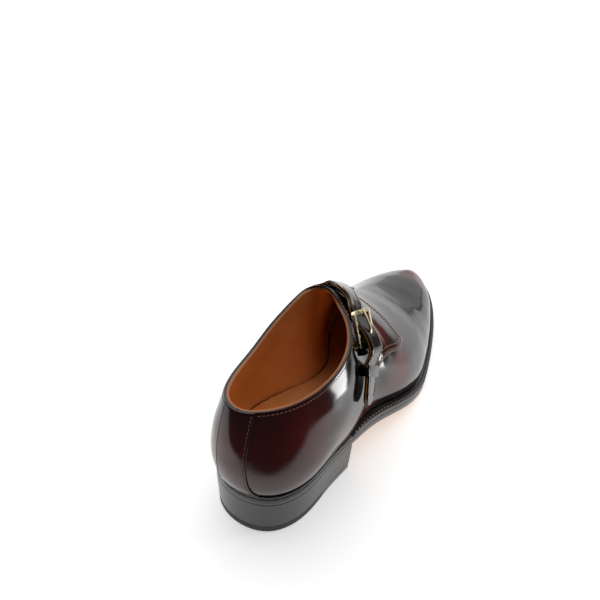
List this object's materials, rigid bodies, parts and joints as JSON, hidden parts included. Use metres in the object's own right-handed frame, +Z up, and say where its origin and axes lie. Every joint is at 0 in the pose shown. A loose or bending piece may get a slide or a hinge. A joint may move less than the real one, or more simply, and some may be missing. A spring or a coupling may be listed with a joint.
{
  "type": "monk strap shoe",
  "caption": "Welted leather monk strap shoe with a stacked heel, a closed upper with an open collar, and one strap over the instep held by a pin buckle.",
  "frame": {"origin": "on the floor under the middle of the heel seat, on the rubber toplift's flat face", "axes": "+Y from the heel to the toe, +X to the outer (lateral) side, +Z up from the floor"},
  "size_m": [0.1059, 0.3089, 0.1182],
  "materials": {
    "toplift_rubber": "matte",
    "toplift_leather": "satin",
    "heel_lift_1": "satin",
    "heel_lift_2": "satin",
    "heel_lift_3": "satin",
    "heel_lift_4": "satin",
    "outsole": "satin",
    "welt": "satin",
    "heel_rand": "satin",
    "insole": "matte",
    "upper": "glossy",
    "quarter_lateral": "glossy",
    "quarter_medial": "glossy",
    "back_strip": "glossy",
    "tongue": "glossy",
    "strap": "glossy",
    "buckle_frame": "polished",
    "buckle_prong": "polished",
    "buckle_tab": "glossy",
    "strap_keeper": "glossy"
  },
  "bodies": {
    "root": {"toplift_rubber": "toplift_rubber", "toplift_leather": "toplift_leather", "heel_lift_1": "heel_lift_1", "heel_lift_2": "heel_lift_2", "heel_lift_3": "heel_lift_3", "heel_lift_4": "heel_lift_4", "outsole": "outsole", "welt": "welt", "heel_rand": "heel_rand", "insole": "insole", "upper": "upper", "quarter_lateral": "quarter_lateral", "quarter_medial": "quarter_medial", "back_strip": "back_strip", "tongue": "tongue", "strap": "strap", "buckle_frame": "buckle_frame", "buckle_prong": "buckle_prong", "buckle_tab": "buckle_tab", "strap_keeper": "strap_keeper"}
  },
  "joints": []
}
